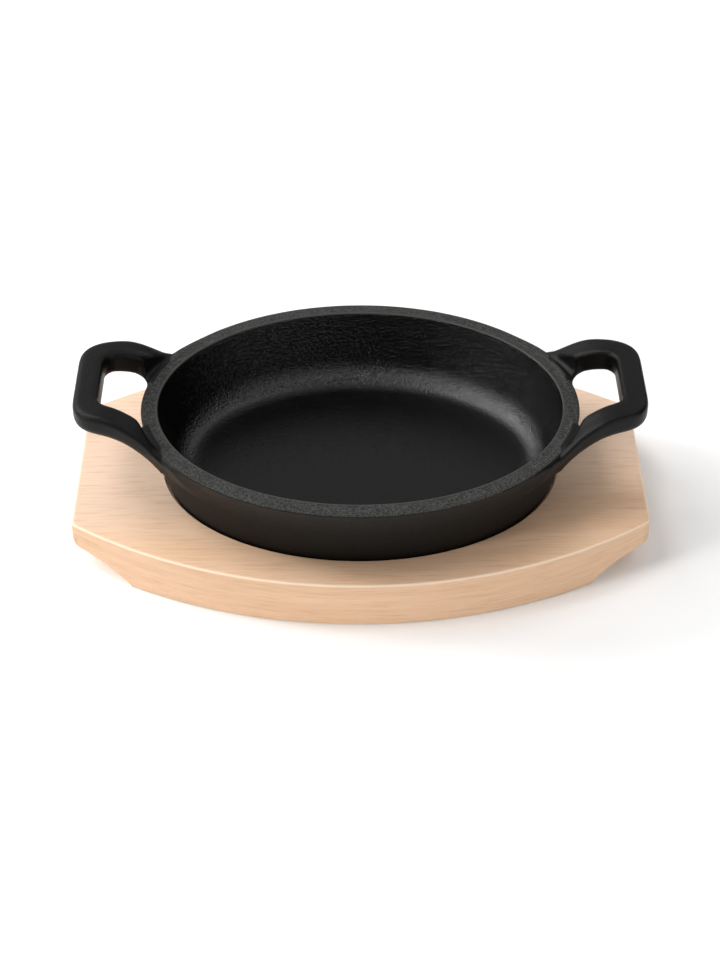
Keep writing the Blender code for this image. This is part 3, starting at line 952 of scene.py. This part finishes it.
def beech():
    """Beech, planed and sanded.

    It is pale and matt, with broad soft bands and hair-fine darker lines along the board. Its top
    is painted paler toward the back and the left, a painted sheen, and its rounded edges are
    painted paler still, a painted highlight.
    """
    made, tree = new_material("beech, planed and sanded")
    coordinates = add(tree, "ShaderNodeTexCoord")
    spot = coordinates.outputs["Object"]
    facing = add(tree, "ShaderNodeSeparateXYZ", {"Vector": coordinates.outputs["Normal"]})
    level = add(tree, "ShaderNodeMath", {0: facing.outputs["Z"]}, operation="ABSOLUTE")
    on_top = add(
        tree,
        "ShaderNodeMapRange",
        {"Value": level.outputs[0], "From Min": 0.5, "From Max": 0.9},
    ).outputs[0]

    def along_board(length, width, depth):
        """Noise drawn out along the board, across its faces and down through its layers."""
        fields = []
        for run in ((length, width, depth), (length, depth, width)):
            scale = [1 / size for size in run]
            drawn = add(tree, "ShaderNodeMapping", {"Vector": spot, "Scale": scale})
            field = add(
                tree,
                "ShaderNodeTexNoise",
                {"Vector": drawn.outputs[0], "Scale": 1.0, "Detail": 4.0, "Roughness": 0.6},
            )
            fields.append(field.outputs[0])
        on_face, on_side = fields
        sides = dict(zip(MIX_NUMBERS, (on_side, on_face)))
        both = add(tree, "ShaderNodeMix", {MIX_SHARE: on_top, **sides}, data_type="FLOAT")
        return both.outputs[MIXED_NUMBER]

    def mixed(share, under, over):
        """One colour laid over another, as far as this share says."""
        colours = dict(zip(MIX_COLOURS, (under, over)))
        both = add(tree, "ShaderNodeMix", {MIX_SHARE: share, **colours}, data_type="RGBA")
        return both.outputs[MIXED_COLOUR]

    rings = add(tree, "ShaderNodeValToRGB", {"Fac": along_board(*BEECH_RINGS)})
    set_stops(rings.color_ramp, ((0.3, hex_colour("e7be99")), (0.7, hex_colour("efc9a8"))))
    # Painted sheen: the top is painted paler toward the back and the left, where the lights behind
    # glance off it; the sides keep their colour.
    across = add(
        tree,
        "ShaderNodeVectorMath",
        {0: spot, 1: (SHEEN_SLANT, 1.0, 0.0)},
        operation="DOT_PRODUCT",
    )
    painted_sheen = add(
        tree,
        "ShaderNodeMapRange",
        {
            "Value": across.outputs["Value"],
            "From Min": SHEEN_START,
            "From Max": 0.0,
            "To Min": 0.0,
            "To Max": SHEEN_SHARE,
        },
        interpolation_type="SMOOTHSTEP",
    )
    painted_sheen_on_top = add(
        tree,
        "ShaderNodeMath",
        {0: painted_sheen.outputs[0], 1: on_top},
        operation="MULTIPLY",
    )
    # The paler colour of the painted sheen.
    wood = mixed(painted_sheen_on_top.outputs[0], rings.outputs[0], hex_colour("f3d6be"))
    lines = add(
        tree,
        "ShaderNodeMapRange",
        {"Value": along_board(*BEECH_LINES), "From Min": 0.5, "From Max": 0.85},
    )
    lined = mixed(lines.outputs[0], wood, hex_colour("d4a882"))
    # Painted highlight: faces between level and upright, the rounded edges among them, are painted
    # paler, as if catching the light.
    edge = add(tree, "ShaderNodeValToRGB", {"Fac": level.outputs[0]})
    set_stops(edge.color_ramp, ((0.35, grey(0)), (0.6, grey(1)), (0.82, grey(1)), (0.96, grey(0))))
    sanded_with_painted_highlight = mixed(edge.outputs[0], lined, hex_colour("f8e0c6"))
    relief = add(
        tree,
        "ShaderNodeBump",
        {"Height": along_board(*BEECH_PORES), "Strength": 1.0, "Distance": PORE_DEPTH},
    )
    shader = add(
        tree,
        "ShaderNodeBsdfPrincipled",
        {
            "Base Color": sanded_with_painted_highlight,
            "Metallic": 0.0,
            "Roughness": 0.55,
            "IOR": 1.4,
            "Normal": relief.outputs[0],
        },
    )
    add(tree, "ShaderNodeOutputMaterial", {"Surface": shader.outputs[0]})
    return made


def floor_paper():
    """White paper, rolled smooth: matt and even, so that it shows only soft shadows."""
    made, tree = new_material("white studio paper")
    shader = add(
        tree,
        "ShaderNodeBsdfPrincipled",
        {"Base Color": hex_colour("ffffff"), "Roughness": 0.9, "Specular IOR Level": 0.0},
    )
    add(tree, "ShaderNodeOutputMaterial", {"Surface": shader.outputs[0]})
    return made


def softbox(name, azimuth, elevation, size, power):
    """A round softbox that points at the board from this side and this high."""
    lamp = bpy.data.lights.new(name, "AREA")
    lamp.shape = "DISK"
    lamp.size = size
    lamp.energy = power
    made = place(name, lamp)
    turn, lift = math.radians(azimuth), math.radians(elevation)
    level = math.cos(lift)
    toward = Vector((math.sin(turn) * level, math.cos(turn) * level, math.sin(lift)))
    made.location = toward * SOFTBOX_DISTANCE
    made.rotation_euler = (-toward).to_track_quat("-Z", "Y").to_euler()


def make_camera():
    """The photograph's view: 41 degrees down onto the long side, from 0.69 m."""
    level = math.cos(CAMERA_ELEVATION)
    drop = -math.sin(CAMERA_ELEVATION)
    ahead = Vector((math.sin(CAMERA_TURN) * level, math.cos(CAMERA_TURN) * level, drop))
    right = Vector((math.cos(CAMERA_TURN), -math.sin(CAMERA_TURN), 0))
    up = right.cross(ahead)
    rolled_right = right * math.cos(CAMERA_ROLL) + up * math.sin(CAMERA_ROLL)
    rolled_up = up * math.cos(CAMERA_ROLL) - right * math.sin(CAMERA_ROLL)
    aim = Vector((0, 0, AIM_HEIGHT)) - rolled_right * AIM_LEFT - rolled_up * AIM_DOWN
    data = bpy.data.cameras.new("camera")
    data.sensor_fit = "HORIZONTAL"
    data.sensor_width = CAMERA_SENSOR
    data.lens = CAMERA_LENS
    made = place("camera", data)
    turned = Matrix((rolled_right, rolled_up, -ahead)).transposed().to_4x4()
    turned.translation = aim - ahead * CAMERA_DISTANCE
    made.matrix_world = turned
    bpy.context.scene.camera = made


def make_studio():
    """The floor, the softboxes and the white surround."""
    floor_mesh = bmesh.new()
    bmesh.ops.create_grid(floor_mesh, x_segments=1, y_segments=1, size=FLOOR_HALF)
    floor = place("floor", mesh_of("floor", floor_mesh))
    floor.data.materials.append(floor_paper())
    for lamp in SOFTBOXES:
        softbox(*lamp)
    world = bpy.data.worlds.new("studio")
    bpy.context.scene.world = world
    world.use_nodes = True
    tree = world.node_tree
    tree.nodes.clear()
    white = hex_colour("ffffff")
    seen = add(tree, "ShaderNodeLightPath")
    room = add(tree, "ShaderNodeBackground", {"Color": white, "Strength": 0.01})
    backdrop = add(tree, "ShaderNodeBackground", {"Color": white, "Strength": 1.0})
    chosen = add(
        tree,
        "ShaderNodeMixShader",
        {0: seen.outputs["Is Camera Ray"], 1: room.outputs[0], 2: backdrop.outputs[0]},
    )
    add(tree, "ShaderNodeOutputWorld", {"Surface": chosen.outputs[0]})
    bpy.context.scene.view_settings.view_transform = "Standard"


# The pan's materials, in the order of their places on its mesh.
OUTSIDE, INSIDE, RIM, WORN = range(4)


def finish_of(x, y, z):
    """Which of the pan's materials a face with its middle here has."""
    inset = -float(outside_rim(x, y))
    from_wall = -float(ellipse_distance(x, y, *wall_outline(z - PAN_BOTTOM)))
    in_cavity = z > PAN_BOTTOM + FLOOR_THICKNESS / 2 and from_wall > RIM_BAND / 2
    by_mouth = z > PAN_BOTTOM + PAN_HEIGHT - 2 * MOUTH_EDGE
    if by_mouth and abs(inset - RIM_BAND) < MOUTH_EDGE:
        return WORN
    if in_cavity and inset > RIM_BAND:
        return INSIDE
    if abs(z - PAN_BOTTOM - band_height(inset)) < BAND_TOLERANCE and inset > RIM_EDGE / 2:
        return RIM
    return OUTSIDE


def dress_pan(pan):
    """Gives every face of the pan its material."""
    for material in (outer_iron(), pebbled_cavity(), ground_rim(), worn_edge()):
        pan.data.materials.append(material)
    for polygon in pan.data.polygons:
        polygon.use_smooth = True
        polygon.material_index = finish_of(*polygon.center)


make_camera()
make_studio()
pan = make_pan()
dress_pan(pan)
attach(pan, "pan")
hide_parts("cast_iron_pan")
board = make_board()
board.data.materials.append(beech())
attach(board, "board")
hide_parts("wooden_board")
bpy.context.view_layer.update()
